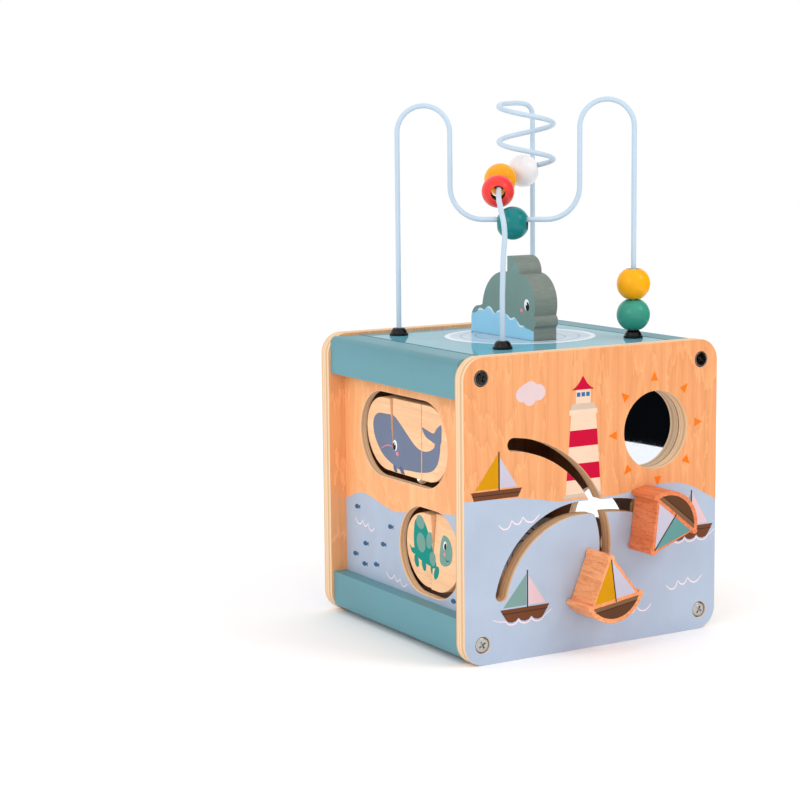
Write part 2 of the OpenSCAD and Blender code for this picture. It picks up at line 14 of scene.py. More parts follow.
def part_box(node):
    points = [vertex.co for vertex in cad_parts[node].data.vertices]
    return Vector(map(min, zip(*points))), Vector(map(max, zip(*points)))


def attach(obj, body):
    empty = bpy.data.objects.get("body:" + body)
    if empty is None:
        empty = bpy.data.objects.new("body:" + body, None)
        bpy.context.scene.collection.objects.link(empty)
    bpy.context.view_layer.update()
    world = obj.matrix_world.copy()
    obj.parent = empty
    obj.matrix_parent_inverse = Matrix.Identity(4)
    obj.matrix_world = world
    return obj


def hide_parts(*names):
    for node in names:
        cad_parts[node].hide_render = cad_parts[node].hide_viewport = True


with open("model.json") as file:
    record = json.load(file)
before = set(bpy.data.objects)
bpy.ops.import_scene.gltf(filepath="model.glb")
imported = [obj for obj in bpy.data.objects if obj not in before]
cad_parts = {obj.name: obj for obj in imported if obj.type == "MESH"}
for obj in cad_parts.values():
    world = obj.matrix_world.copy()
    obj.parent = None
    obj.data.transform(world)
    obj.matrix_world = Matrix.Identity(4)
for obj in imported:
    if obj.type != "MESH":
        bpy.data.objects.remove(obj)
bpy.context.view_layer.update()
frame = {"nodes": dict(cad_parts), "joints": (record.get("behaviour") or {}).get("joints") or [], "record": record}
MM = 0.001
AXIS = {"X": 0, "Y": 1, "Z": 2}


# ---------- camera, floor and light ----------

# Fitted to the cube's corners in the photo: degrees, millimetres of lens and sensor, metres
HEADING, DIP, ROLL = 30.42, 8.05, -0.60
LENS, SENSOR = 90.95, 36
CAMERA_AT = Vector((-0.6837, -1.0246, 0.3117))


def make_camera():
    heading, dip, roll = math.radians(HEADING), math.radians(DIP), math.radians(ROLL)
    ahead = Vector((math.sin(heading) * math.cos(dip), math.cos(heading) * math.cos(dip), -math.sin(dip)))
    right = Vector((math.cos(heading), -math.sin(heading), 0))
    up = right.cross(ahead)
    tilted_right = right * math.cos(roll) + up * math.sin(roll)
    tilted_up = up * math.cos(roll) - right * math.sin(roll)
    data = bpy.data.cameras.new("camera")
    data.lens = LENS
    data.sensor_width = SENSOR
    camera = bpy.data.objects.new("camera", data)
    turn = Matrix((tilted_right, tilted_up, -ahead)).transposed().to_4x4()
    camera.matrix_world = Matrix.Translation(CAMERA_AT) @ turn
    bpy.context.scene.collection.objects.link(camera)
    bpy.context.scene.camera = camera


def soft_light(name, place, size, power, colour):
    """A square lamp of the given side, aimed at the middle of the cube."""
    data = bpy.data.lights.new(name, "AREA")
    data.shape = "RECTANGLE"
    data.size = data.size_y = size
    data.energy = power
    data.color = colour
    lamp = bpy.data.objects.new(name, data)
    lamp.location = place
    lamp.rotation_euler = (Vector((0, 0, 0.1)) - Vector(place)).to_track_quat("-Z", "Y").to_euler()
    bpy.context.scene.collection.objects.link(lamp)


def stage_sheet(name, corners, material):
    """One flat four-cornered sheet of the stage."""
    mesh = bpy.data.meshes.new(name)
    mesh.from_pydata(corners, [], [(0, 1, 2, 3)])
    mesh.materials.append(material)
    sheet = bpy.data.objects.new(name, mesh)
    bpy.context.scene.collection.objects.link(sheet)
    return sheet


def make_stage():
    reach = 6
    paper = new_material("floor_paper", {"Base Color": linear(254, 254, 255), "Roughness": 0.8})
    corners = [(-reach, -reach, 0), (reach, -reach, 0), (reach, reach, 0), (-reach, reach, 0)]
    floor = stage_sheet("floor", corners, paper)
    # A dark board beyond the floor's bright part; only mirrors and gloss see it
    middle, half, rise = Vector((0.471, -0.632, 0)), Vector((0.09, 0.78, 0)), Vector((0, 0, 1.4))
    cloth = {"Base Color": linear(8, 10, 13), "Roughness": 1.0, "Specular IOR Level": 0}
    corners = [middle - half, middle + half, middle + half + rise, middle - half + rise]
    board = stage_sheet("dark_board", corners, new_material("board_cloth", cloth))
    for ray in ("camera", "diffuse", "shadow", "transmission"):
        setattr(board, "visible_" + ray, False)


def make_light():
    world = bpy.data.worlds.new("studio")
    world.use_nodes = True
    set_inputs(world.node_tree.nodes["Background"], {"Color": (1, 1, 1, 1), "Strength": 1.01})
    bpy.context.scene.world = world
    soft_light("key", (0.75, -1.1, 1.3), 0.6, 6.5, (1, 0.99, 0.97))
    soft_light("side", (-1.3, -0.5, 0.9), 0.7, 3.5, (1, 0.99, 0.98))
    view = bpy.context.scene.view_settings
    view.view_transform = "Standard"
    view.look = "None"
    view.exposure = 0.0


# ---------- materials ----------

def linear(r, g, b):
    """An 8-bit screen colour as the linear colour that shaders take."""
    def one(c):
        c /= 255
        return c / 12.92 if c <= 0.04045 else ((c + 0.055) / 1.055) ** 2.4
    return (one(r), one(g), one(b), 1)


def shaded(colour, factor):
    """The colour made darker or paler by a factor."""
    return (colour[0] * factor, colour[1] * factor, colour[2] * factor, 1)


def set_inputs(node, values):
    for key, value in values.items():
        node.inputs[key].default_value = value


def new_material(name, values):
    """A new material, and the shader inputs that are the same all over it."""
    made = bpy.data.materials.new(name)
    made.use_nodes = True
    set_inputs(made.node_tree.nodes["Principled BSDF"], values)
    return made


class Graph:
    """Short names for the few nodes that the materials are built from."""

    def __init__(self, made):
        self.made = made
        self.tree = made.node_tree
        self.shader = self.tree.nodes["Principled BSDF"]
        coordinates = self.tree.nodes.new("ShaderNodeTexCoord")
        self.place = coordinates.outputs["Object"]
        self.normal = coordinates.outputs["Normal"]

    def add(self, kind, inputs, **settings):
        """A new node, with each input set to a value or linked to another node's output."""
        node = self.tree.nodes.new("ShaderNode" + kind)
        for key, value in settings.items():
            setattr(node, key, value)
        for key, value in inputs.items():
            if isinstance(value, (int, float, tuple)):
                node.inputs[key].default_value = value
            else:
                self.tree.links.new(value, node.inputs[key])
        return node

    def stretched(self, scale):
        return self.add("Mapping", {"Vector": self.place, "Scale": scale}).outputs["Vector"]

    def noise(self, vector, scale, detail, rough=0.55, warp=0.0):
        inputs = {"Vector": vector, "Scale": scale, "Detail": detail, "Roughness": rough, "Distortion": warp}
        return self.add("TexNoise", inputs).outputs["Fac"]

    def rings(self, vector, scale, warp, detail, direction):
        inputs = {"Vector": vector, "Scale": scale, "Distortion": warp, "Detail": detail, "Detail Scale": 1.2}
        return self.add("TexWave", inputs, bands_direction=direction).outputs["Fac"]

    def grey_ramp(self, fac, low, high, dark=0.0, light=1.0):
        """Grey that goes from dark to light between two levels of the input."""
        node = self.add("ValToRGB", {"Fac": fac})
        for stop, at, grey in zip(node.color_ramp.elements, (low, high), (dark, light)):
            stop.position = at
            stop.color = (grey, grey, grey, 1)
        return node.outputs["Color"]

    def mix(self, fac, a, b):
        return self.add("Mix", {"Factor": fac, 6: a, 7: b}, data_type="RGBA").outputs[2]

    def math(self, kind, a, b=0.0):
        return self.add("Math", {0: a, 1: b}, operation=kind).outputs[0]

    def part(self, vector, axis):
        return self.add("SeparateXYZ", {0: vector}).outputs[axis]

    def drifting(self, pattern, colour, start, end, high=0.7):
        """The colour's shade drifts from start to end with the pattern."""
        return self.mix(self.grey_ramp(pattern, 0.3, high), shaded(colour, start), shaded(colour, end))

    def colour(self, source):
        self.tree.links.new(source, self.shader.inputs["Base Color"])

    def roughness(self, fac, low, high, smooth, rough):
        levels = self.grey_ramp(fac, low, high, smooth, rough)
        self.tree.links.new(levels, self.shader.inputs["Roughness"])

    def bump(self, height, distance, strength):
        node = self.add("Bump", {"Height": height, "Strength": strength, "Distance": distance})
        self.tree.links.new(node.outputs["Normal"], self.shader.inputs["Normal"])


def drawn_out(along, squeeze=0.12):
    """The scale that draws a pattern out along one axis."""
    return tuple(squeeze if i == AXIS[along] else 1.0 for i in range(3))


def grained_colour(g, pale, deep, along, streak=1.0):
    """Wood figure: broad flames, fine pores and slow colour drift, running along an axis."""
    run = g.stretched(drawn_out(along))
    flames = g.rings(run, 34, 9, 4, "X" if along == "Z" else "Z")
    field = g.math("MULTIPLY", g.noise(g.stretched(drawn_out(along, 0.3)), 13, 2, 0.5), 16)
    jagged = g.math("MULTIPLY", g.noise(run, 260, 3, 0.7), 1.6)
    rising = g.math("FRACT", g.math("ADD", field, jagged))
    pores = g.noise(g.stretched(drawn_out(along, 0.03)), 900, 2)
    base = g.mix(g.grey_ramp(g.noise(run, 22, 4, 0.6, 1.2), 0.3, 0.72), pale, deep)
    marks = (
        (rising, 0.80, 0.98, 0.0, 0.55 * streak, shaded(pale, 1.18)),
        (rising, 0.0, 0.35, 0.30 * streak, 0.0, shaded(deep, 0.86)),
        (flames, 0.9, 1.0, 0.0, 0.30 * streak, shaded(pale, 1.12)),
        (flames, 0.0, 0.12, 0.24 * streak, 0.0, shaded(deep, 0.80)),
        (pores, 0.55, 0.85, 0.0, 0.16, shaded(deep, 0.72)),
    )
    for pattern, low, high, start, end, tint in marks:
        base = g.mix(g.grey_ramp(pattern, low, high, start, end), base, tint)
    return base, pores


def wood(name, pale, deep, along, streak, rough):
    """Bare or oiled wood, with its grain along one axis."""
    g = Graph(new_material(name, {"Specular IOR Level": 0.2}))
    colour, pores = grained_colour(g, pale, deep, along, streak)
    g.colour(colour)
    g.roughness(pores, 0.3, 0.8, rough, rough + 0.14)
    g.bump(pores, 0.00006, 0.5)
    return g.made


# Along X and Z: the room inside the box, out to the far sides of the panels round it
ROOM = {
    0: (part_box("left_panel")[0].x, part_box("right_panel")[1].x),
    2: (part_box("bottom_panel")[0].z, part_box("top_panel")[1].z),
}
PLY_LAYERS = 3


def plywood(side, direction, pale, deep):
    """Lacquered veneer outside, veneer painted dark brown inside as painted shade, and layers stacked through the
    edges.
    """
    axis = AXIS[direction[1]]
    inward = 1 if direction[0] == "-" else -1
    low, high = [corner[axis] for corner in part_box(side + "_panel")]
    g = Graph(new_material(side + "_plywood", {"Specular IOR Level": 0.2}))
    veneer, pores = grained_colour(g, pale, deep, "Z")
    depth = g.math("DIVIDE", g.math("SUBTRACT", g.part(g.place, axis), low), high - low)
    ripple = g.math("MULTIPLY", g.noise(g.place, 90, 2), 0.05)
    layer = g.math("MULTIPLY", g.math("ADD", depth, ripple), PLY_LAYERS)
    glue = g.grey_ramp(g.math("PINGPONG", g.math("FRACT", layer), 0.5), 0.0, 0.16, 1.0, 0.0)
    odd = g.grey_ramp(g.math("PINGPONG", layer, 1.0), 0.35, 0.65)
    fibres = g.noise(g.place, 1500, 3)
    cream = g.mix(odd, linear(242, 212, 178), linear(228, 190, 148))
    cream = g.mix(g.grey_ramp(fibres, 0.45, 0.8, 0.0, 0.3), cream, linear(200, 156, 108))
    edge = g.mix(g.math("MULTIPLY", glue, 0.62), cream, linear(176, 126, 82))
    # Painted shade: the inner faces take a dark brown in place of the pale veneer, standing in for the shade
    # inside the box
    painted_inside_shade = g.mix(g.grey_ramp(pores, 0.4, 0.8), linear(146, 98, 66), linear(122, 76, 48))
    facing = g.part(g.normal, axis)
    inside_shade_mask = g.grey_ramp(g.math("MULTIPLY", facing, inward), 0.90, 0.985)
    for across, (start, end) in ROOM.items():
        away = g.math("ABSOLUTE", g.math("SUBTRACT", g.part(g.place, across), (start + end) / 2))
        inside_shade_mask = g.math("MULTIPLY", inside_shade_mask, g.math("LESS_THAN", away, (end - start) / 2 - 1 * MM))
    flat = g.grey_ramp(g.math("ABSOLUTE", facing), 0.90, 0.985)
    g.colour(g.mix(flat, edge, g.mix(inside_shade_mask, veneer, painted_inside_shade)))
    g.roughness(flat, 0, 1, 0.62, 0.42)
    g.bump(g.mix(flat, fibres, pores), 0.00008, 0.5)
    return g.made


def painted_wood(name, colour, rough, coat=0.0, grain="Y", wear=0.5, gloss=0.25):
    """Paint over wood: the grain just shows, and the paint is thinner and paler along edges."""
    g = Graph(new_material(name, {"Coat Weight": coat, "Coat Roughness": 0.06, "Specular IOR Level": gloss}))
    ridges = g.noise(g.stretched(drawn_out(grain)), 420, 3, 0.6)
    cloud = g.noise(g.place, 26, 3)
    bevel = g.add("NewGeometry", {}).outputs["Pointiness"]
    base = g.drifting(cloud, colour, 0.94, 1.06)
    base = g.mix(g.grey_ramp(ridges, 0.5, 0.75, 0.0, 0.18), base, shaded(colour, 0.84))
    edge = g.math("MULTIPLY", g.grey_ramp(bevel, 0.52, 0.60), wear)
    g.colour(g.mix(edge, base, shaded(colour, 1.28)))
    g.roughness(cloud, 0.2, 0.8, rough - 0.04, rough + 0.07)
    g.bump(ridges, 0.00005, 0.45)
    return g.made


def pond_paint(name, colour, wear=0.5):
    """The top board's glossy paint: all its reflection comes from the coat."""
    return painted_wood(name, colour, 0.12, 0.6, wear=wear, gloss=0.0)


def ink(name, colour):
    """Printed ink on lacquered wood, with the faint pull of the grain under it."""
    g = Graph(new_material(name, {"Specular IOR Level": 0.08}))
    grain = g.noise(g.stretched(drawn_out("Z")), 500, 3)
    base = g.drifting(g.noise(g.place, 40, 2), colour, 0.95, 1.03)
    g.colour(g.mix(g.grey_ramp(grain, 0.5, 0.8, 0.0, 0.14), base, shaded(colour, 0.86)))
    g.roughness(grain, 0.3, 0.8, 0.46, 0.54)
    g.bump(grain, 0.00004, 0.4)
    return g.made


def metal(name, colour, rough):
    """Plated steel, cloudy and finely scratched."""
    g = Graph(new_material(name, {"Metallic": 1.0}))
    scratch = g.noise(g.stretched(drawn_out("Z")), 1600, 3)
    g.colour(g.drifting(g.noise(g.place, 160, 3), colour, 1, 0.8, 0.75))
    g.roughness(scratch, 0.3, 0.8, rough, rough + 0.16)
    g.bump(scratch, 0.00002, 0.4)
    return g.made


def enamel(name, colour):
    """Smooth dipped enamel on bent wire, a little uneven in gloss."""
    g = Graph(new_material(name, {}))
    cloud = g.noise(g.place, 30, 2)
    g.colour(g.drifting(cloud, colour, 1, 0.95))
    g.roughness(cloud, 0.3, 0.7, 0.3, 0.38)
    g.bump(g.noise(g.place, 300, 2), 0.00002, 0.25)
    return g.made


def mirror_sheet(name):
    """Bright mirror sheet with the faint waviness and dust of an acrylic one."""
    g = Graph(new_material(name, {"Metallic": 1.0}))
    dust = g.noise(g.place, 800, 2)
    g.colour(g.mix(g.grey_ramp(dust, 0.6, 0.8), linear(222, 227, 232), linear(198, 203, 208)))
    g.roughness(dust, 0.55, 0.85, 0.015, 0.06)
    g.bump(g.noise(g.place, 18, 1), 0.00001, 0.3)
    return g.made


def glossy_paint(name, colour):
    """Thick glossy enamel on a turned bead, with a slight orange-peel."""
    g = Graph(new_material(name, {"Coat Weight": 0.12, "Coat Roughness": 0.1, "Specular IOR Level": 0.2}))
    peel = g.noise(g.place, 420, 2)
    g.colour(g.drifting(g.noise(g.place, 70, 3), colour, 0.94, 1.05))
    g.roughness(peel, 0.3, 0.7, 0.2, 0.25)
    g.bump(peel, 0.00003, 0.3)
    return g.made


def moulded_plastic(name, colour):
    """Shiny dark plastic with a fine moulded texture."""
    g = Graph(new_material(name, {"Specular IOR Level": 0.3}))
    fine = g.noise(g.place, 1400, 2)
    g.colour(g.drifting(g.noise(g.place, 90, 2), colour, 1, 1.5))
    g.roughness(fine, 0.3, 0.7, 0.12, 0.22)
    g.bump(fine, 0.00003, 0.3)
    return g.made


# ---------- outlines ----------

def arc(cx, cy, r, start, end, steps=24):
    turns = [math.radians(start + (end - start) * i / steps) for i in range(steps + 1)]
    return [(cx + r * math.cos(t), cy + r * math.sin(t)) for t in turns]


def disc(cx, cy, r, steps=32):
    return arc(cx, cy, r, 0, 360 - 360 / steps, steps - 1)


def oval(cx, cy, rx, ry, lean=0, steps=32):
    c, s = math.cos(math.radians(lean)), math.sin(math.radians(lean))
    return [(cx + x * rx * c - y * ry * s, cy + x * rx * s + y * ry * c) for x, y in disc(0, 0, 1, steps)]


def box(x0, y0, x1, y1):
    return [(x0, y0), (x1, y0), (x1, y1), (x0, y1)]


def smooth(points, steps=6, closed=False):
    """A Catmull-Rom curve through the points."""
    count = len(points)
    out = []
    for i in range(count if closed else count - 1):
        if closed:
            near = [points[(i + k) % count] for k in (-1, 0, 1, 2)]
        else:
            near = [points[min(max(i + k, 0), count - 1)] for k in (-1, 0, 1, 2)]
        a, b, c, d = [Vector(p) for p in near]
        m, n = (c - a) / 2, (d - b) / 2
        for k in range(steps):
            t = k / steps
            at = b * (2 * t**3 - 3 * t**2 + 1) + m * (t**3 - 2 * t**2 + t) + c * (3 * t**2 - 2 * t**3)
            out.append(tuple(at + n * (t**3 - t**2)))
    if not closed:
        out.append(tuple(points[-1]))
    return out


def brush(points, width, taper=True):
    """A line drawn along the points, thin at its ends."""
    line = [Vector(p) for p in points]
    last = len(line) - 1
    left, right = [], []
    for i, p in enumerate(line):
        along = (line[min(i + 1, last)] - line[max(i - 1, 0)]).normalized()
        fade = math.sin(math.pi * (0.08 + 0.84 * i / last)) ** 0.5 if taper else 1
        side = Vector((-along.y, along.x)) * width / 2 * fade
        left.append(tuple(p + side))
        right.append(tuple(p - side))
    return left + right[::-1]


def ring(cx, cy, rx, ry, width, count=72):
    """A closed band, as four strokes that overlap at their ends."""
    line = oval(cx, cy, rx, ry, 0, count)
    line += line[:2]
    quarter = count // 4
    return [brush(line[i * quarter:(i + 1) * quarter + 2], width, False) for i in range(4)]


def wave_mark(x, y, width, height):
    """A little crest line: two pointed waves between two curling ends."""
    strokes = [
        [(0, 0.45), (0.12, 0), (0.25, 0.1), (0.32, 0.75)],
        [(0.32, 0.75), (0.42, 0.35), (0.52, 0.4), (0.6, 0.95)],
        [(0.6, 0.95), (0.7, 0.45), (0.85, 0.4), (1, 1)],
    ]
    return [brush(smooth([(x + u * width, y + v * height) for u, v in s]), 0.9) for s in strokes]


def puffs(x, y, scale=1.0):
    """A cloud as overlapping round puffs."""
    parts = [(0, 2.2, 5.0), (-5.6, -0.2, 4.4), (5.4, 0.4, 4.8), (-0.6, -2.6, 4.4), (-2.8, 1.4, 4.6)]
    return [disc(x + dx * scale, y + dy * scale, r * scale) for dx, dy, r in parts]


def scallops(x0, x1, y, count, depth):
    """Points of a row of hanging lobes from x1 back to x0."""
    half = (x1 - x0) / count / 2
    out = []
    for i in range(count):
        middle = x1 - half * (2 * i + 1)
        out += [(middle + half * math.cos(t), y - depth * math.sin(t)) for t in (0.3, 0.9, 1.57, 2.24, 2.84)]
    return out


def under(shore):
    """The area from a shoreline down past the foot of its panel."""
    return shore + [(shore[-1][0], -5), (shore[0][0], -5)]


def sail(mast, peak, boom, tip):
    """A triangle from the mast out to the tip of its boom."""
    return [(mast, peak), (tip, boom), (mast, boom)]


# ---------- surfaces that carry prints ----------

FACING = 0.985  # how squarely a face's triangles face the print's direction
SAME_SLOPE = 0.99995  # how nearly they have the slope of the biggest one
SAME_PLANE = 0.02 * MM
SLIVER = 1e-12  # square metres
INK_STEP = 0.03  # millimetres between two layers of ink
ONLY_INSIDE = 1  # the cut keeps the triangles inside its faces
SAME_POINT = 1e-5  # millimetres


def evaluated_mesh(obj):
    graph = bpy.context.evaluated_depsgraph_get()
    return obj.evaluated_get(graph).to_mesh()


class Skin:
    """The outermost flat face of a piece in one direction, as 2D triangles in millimetres.

    direction is "-Y" and so on. The drawing's axes are the other two, in X, Y, Z order.
    """

    def __init__(self, obj, direction):
        sign = -1 if direction[0] == "-" else 1
        self.axis = AXIS[direction[1]]
        self.flat = [i for i in range(3) if i != self.axis]
        mesh = evaluated_mesh(obj)
        mesh.calc_loop_triangles()
        toward = [t for t in mesh.loop_triangles if t.normal[self.axis] * sign > FACING]
        biggest = max(toward, key=lambda t: t.area)
        self.normal = biggest.normal.copy()
        self.point = mesh.vertices[biggest.vertices[0]].co.copy()
        self.triangles = []
        index = {}
        for t in toward:
            if t.normal.dot(self.normal) < SAME_SLOPE or t.area < SLIVER:
                continue
            corners = [mesh.vertices[i].co for i in t.vertices]
            if any(abs((c - self.point).dot(self.normal)) > SAME_PLANE for c in corners):
                continue
            ids = [index.setdefault(self.key(c), len(index)) for c in corners]
            if len(set(ids)) == 3:
                self.triangles.append(ids)
        self.points = [key for key, i in sorted(index.items(), key=lambda item: item[1])]

    def key(self, corner):
        return tuple(round(corner[i] / MM, 4) for i in self.flat)

    def lift(self, u, v, height):
        """The 3D point over (u, v), height millimetres above the face."""
        at = [0.0, 0.0, 0.0]
        at[self.flat[0]], at[self.flat[1]] = u * MM, v * MM
        known = sum(self.normal[i] * (at[i] - self.point[i]) for i in self.flat)
        at[self.axis] = self.point[self.axis] - known / self.normal[self.axis]
        return Vector(at) + self.normal * height * MM

    def cut(self, shapes):
        """Triangles that lie both on the face and in one of the shapes."""
        points = list(self.points)
        faces = [turned_left(t, points) for t in self.triangles]
        for shape in shapes:
            start = len(points)
            points += [tuple(p) for p in shape]
            faces.append(turned_left(list(range(start, len(points))), points))
        corners = [Vector(p) for p in points]
        verts, _, tris, _, _, source = delaunay_2d_cdt(corners, [], faces, ONLY_INSIDE, SAME_POINT)
        own = len(self.triangles)
        kept = [t for t, s in zip(tris, source) if any(i < own for i in s) and any(i >= own for i in s)]
        return verts, kept


def turned_left(ids, points):
    """The same polygon, wound counter-clockwise."""
    area = 0
    for a, b in zip(ids, ids[1:] + ids[:1]):
        area += points[a][0] * points[b][1] - points[b][0] * points[a][1]
    return ids if area > 0 else ids[::-1]


def printed(name, skin, shapes, material, body, layer=1):
    """A print on a face: the shapes cut to the face and lifted by a hair for each layer."""
    verts, triangles = skin.cut(shapes)
    if not triangles:
        raise ValueError(f"the print {name} misses its face")
    used = sorted({i for t in triangles for i in t})
    order = {old: new for new, old in enumerate(used)}
    bm = bmesh.new()
    corners = [bm.verts.new(skin.lift(verts[i].x, verts[i].y, INK_STEP * layer)) for i in used]
    for t in triangles:
        bm.faces.new([corners[order[i]] for i in t])
    bm.normal_update()
    if sum(f.normal.dot(skin.normal) * f.calc_area() for f in bm.faces) < 0:
        bmesh.ops.reverse_faces(bm, faces=bm.faces)
    mesh = bpy.data.meshes.new(name)
    bm.to_mesh(mesh)
    bm.free()
    piece = bpy.data.objects.new(name, mesh)
    bpy.context.scene.collection.objects.link(piece)
    piece.data.materials.append(material)
    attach(piece, body)
    return piece


# ---------- finished pieces ----------

BODY_OF = {n: b for b, members in frame["record"]["behaviour"]["bodies"].items() for n in members}


def place_piece(name, mesh, material, node):
    """Puts a new piece in the scene in place of a CAD node."""
    piece = bpy.data.objects.new(name, mesh)
    bpy.context.scene.collection.objects.link(piece)
    piece.data.materials.append(material)
    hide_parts(node)
    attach(piece, BODY_OF[node])
    return piece


def smooth_mesh(name, bm, sharp):
    """The mesh shaded smooth, except over edges sharper than the angle in degrees."""
    mesh = bpy.data.meshes.new(name)
    bm.to_mesh(mesh)
    bm.free()
    mesh.shade_smooth()
    mesh.set_sharp_from_angle(angle=math.radians(sharp))
    return mesh


SHARP = math.radians(32)  # edges turning more than this are rounded over


def finished(node, material, edge, steps=3):
    """The node's own shape with every sharp edge rounded over by edge millimetres."""
    bm = bmesh.new()
    bm.from_mesh(frame["nodes"][node].data)
    bmesh.ops.remove_doubles(bm, verts=bm.verts, dist=0.03 * MM)
    bmesh.ops.dissolve_degenerate(bm, edges=bm.edges, dist=0.005 * MM)
    bmesh.ops.dissolve_limit(bm, angle_limit=math.radians(0.6), verts=bm.verts, edges=bm.edges)
    bmesh.ops.recalc_face_normals(bm, faces=bm.faces)
    if edge > 0:
        corners = [e for e in bm.edges if len(e.link_faces) == 2 and e.calc_face_angle() > SHARP]
        bmesh.ops.bevel(
            bm, geom=corners, offset=edge * MM, offset_type="OFFSET", segments=steps,
            profile=0.5, affect="EDGES", clamp_overlap=True,
        )
    name = node + "_finished"
    piece = place_piece(name, smooth_mesh(name, bm, 38), material, node)
    weighted = piece.modifiers.new("even_faces", "WEIGHTED_NORMAL")
    weighted.keep_sharp = True
    return piece


def sweep(name, path, radius, material, node, sides=24):
    """A round tube of a radius along a list of points, all in millimetres."""
    line = [Vector(p) * MM for p in path]
    last = len(line) - 1
    bm = bmesh.new()
    across = Vector((1, 0, 0))
    rings = []
    for i, p in enumerate(line):
        along = (line[min(i + 1, last)] - line[max(i - 1, 0)]).normalized()
        across = (across - along * across.dot(along)).normalized()
        other = along.cross(across)
        turns = [2 * math.pi * k / sides for k in range(sides)]
        spokes = [(across * math.cos(t) + other * math.sin(t)) * radius * MM for t in turns]
        rings.append([bm.verts.new(p + spoke) for spoke in spokes])
    for a, b in zip(rings, rings[1:]):
        for k in range(sides):
            bm.faces.new((a[k], a[(k + 1) % sides], b[(k + 1) % sides], b[k]))
    bm.faces.new(rings[0][::-1])
    bm.faces.new(rings[-1])
    return place_piece(name, smooth_mesh(name, bm, 50), material, node)


def lathe(name, profile, axis, material, node, bore_shade_material, sides=72):
    """A turned piece at its node's middle: profile is (radius, height) in millimetres, closed."""
    low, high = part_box(node)
    centre = (low + high) / 2
    bore = min(r for r, h in profile)
    bm = bmesh.new()
    turn = Vector((0, 0, 1)).rotation_difference(Vector(axis)).to_matrix()
    rings = []
    for k in range(sides):
        t = 2 * math.pi * k / sides
        ring = [Vector((r * math.cos(t), r * math.sin(t), h)) * MM for r, h in profile]
        rings.append([bm.verts.new(centre + turn @ p) for p in ring])
    count = len(profile)
    for k in range(sides):
        a, b = rings[k], rings[(k + 1) % sides]
        for i in range(count):
            face = bm.faces.new((a[i], b[i], b[(i + 1) % count], a[(i + 1) % count]))
            # Faces along the bore take the second material, the bore's painted shade
            if profile[i][0] == profile[(i + 1) % count][0] == bore:
                face.material_index = 1
    bmesh.ops.recalc_face_normals(bm, faces=bm.faces)
    piece = place_piece(name, smooth_mesh(name, bm, 40), material, node)
    piece.data.materials.append(bore_shade_material)
    return piece


make_camera()
make_stage()
make_light()

# Colours that several pieces share
WOOD_PALE, WOOD_DEEP = linear(237, 168, 115), linear(224, 146, 91)
SIDE_PALE, SIDE_DEEP = linear(249, 184, 130), linear(240, 162, 104)
SEA = ink("sea_ink", linear(175, 188, 207))
FOAM = ink("foam_ink", linear(222, 197, 198))
RED = ink("red_ink", linear(198, 6, 54))
CREAM = ink("cream_ink", linear(237, 202, 175))
STONE = ink("stone_ink", linear(205, 184, 164))
BROWN = ink("brown_ink", linear(112, 66, 42))
DARK_BROWN = ink("dark_brown_ink", linear(66, 46, 36))
HULL = ink("hull_ink", linear(94, 60, 39))
GOLD = ink("gold_ink", linear(207, 144, 3))
LAVENDER = ink("lavender_ink", linear(193, 187, 203))
PINK = ink("pink_ink", linear(222, 190, 194))
SAIL_GREEN = ink("sail_green_ink", linear(122, 156, 150))
TEAL_SAIL = ink("teal_sail_ink", linear(98, 148, 145))
SUN = ink("sun_ink", linear(246, 118, 22))
NAVY = ink("navy_ink", linear(58, 96, 134))
BLACK = ink("black_ink", linear(22, 22, 26))
WHITE = ink("white_ink", linear(248, 248, 248))
BLUSH = ink("blush_ink", linear(250, 130, 150))
WHALE = ink("whale_ink", linear(112, 124, 148))
TURTLE = ink("turtle_ink", linear(10, 143, 130))
MOSS = ink("moss_ink", linear(116, 160, 150))
SPLASH = ink("splash_ink", linear(152, 208, 236))

PLAIN = wood("plain_birch", linear(250, 214, 168), linear(236, 190, 138), "Z", 0.6, 0.6)
STEEL = metal("zinc_steel", linear(196, 196, 192), 0.26)
BLACK_STEEL = metal("black_steel", linear(112, 108, 105), 0.10)
RAIL_PAINT = painted_wood("rail_paint", linear(94, 143, 153), 0.45)
WIRE_PAINT = enamel("wire_enamel", linear(190, 209, 225))

# ---------- the box ----------


def outer_panel(side, direction, pale, deep, edge):
    """A plywood panel, whose outside faces in the direction."""
    return finished(side + "_panel", plywood(side, direction, pale, deep), edge)


front = outer_panel("front", "-Y", WOOD_PALE, WOOD_DEEP, 0.6)
back = outer_panel("back", "+Y", SIDE_PALE, SIDE_DEEP, 0.6)
left = outer_panel("left", "-X", SIDE_PALE, SIDE_DEEP, 0.5)
right = outer_panel("right", "+X", SIDE_PALE, SIDE_DEEP, 0.5)
for rail in ("left_top_rail", "left_bottom_rail", "right_top_rail", "right_bottom_rail"):
    finished(rail, RAIL_PAINT, 0.5)
top = finished("top_panel", pond_paint("pond_paint", linear(96, 160, 176), 0.2), 0.4)
# Painted shade: the bottom board's birch is darker than the plain birch, standing in for the shade on the floor
# inside the box
BOTTOM_SHADE_WOOD = wood("bottom_birch_painted_shade", linear(204, 154, 112), linear(176, 126, 88), "X", 0.6, 0.6)
finished("bottom_panel", BOTTOM_SHADE_WOOD, 0.4)
finished("mirror_disc", mirror_sheet("mirror_sheet"), 0.15)
finished("mirror_backing", PLAIN, 0.5)
finished("mirror_backing_screws", STEEL, 0.25)
finished("front_top_screws", BLACK_STEEL, 0.22)
finished("front_bottom_screws", STEEL, 0.22)
finished("back_screws", BLACK_STEEL, 0.22)

# ---------- front face print: sea, lighthouse, cloud, sun and sailboats ----------

